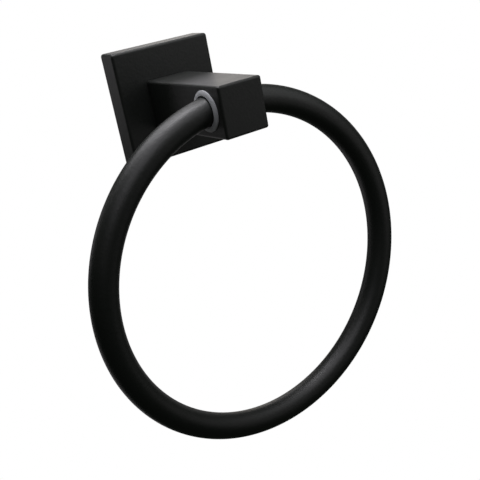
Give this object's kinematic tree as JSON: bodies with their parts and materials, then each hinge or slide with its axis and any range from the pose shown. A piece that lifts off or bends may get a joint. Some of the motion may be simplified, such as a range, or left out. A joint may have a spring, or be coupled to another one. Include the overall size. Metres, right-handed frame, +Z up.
{
  "type": "towel ring",
  "caption": "Wall-mounted towel ring: a round tube ring swings in plastic bushes through a square post on a square plate, and holds a hanging towel.",
  "frame": {"origin": "middle of the plate's back, on the wall", "axes": "the wall is the plane y = 0, -Y points into the room, +X to the right as seen from the room, +Z up"},
  "size_m": [0.17, 0.073, 0.1895],
  "materials": {
    "black_coat": "matte",
    "grey_nylon": "satin",
    "plated_steel": "satin"
  },
  "bodies": {
    "fixture": {"wall_plate": "black_coat", "post": "black_coat", "bush_left": "grey_nylon", "bush_right": "grey_nylon", "post_screw": "plated_steel", "lock_washer": "plated_steel", "mounting_bracket": "plated_steel", "set_screw": "plated_steel"},
    "swinging_ring": {"ring": "black_coat", "ring_joint_pin": "plated_steel"}
  },
  "joints": [
    {"name": "ring_swing", "type": "hinge", "parent": "fixture", "child": "swinging_ring", "pos_m": [0, -0.0605, 0.00035], "axis": [-1, 0, 0], "range_deg": [-20, 200]}
  ]
}
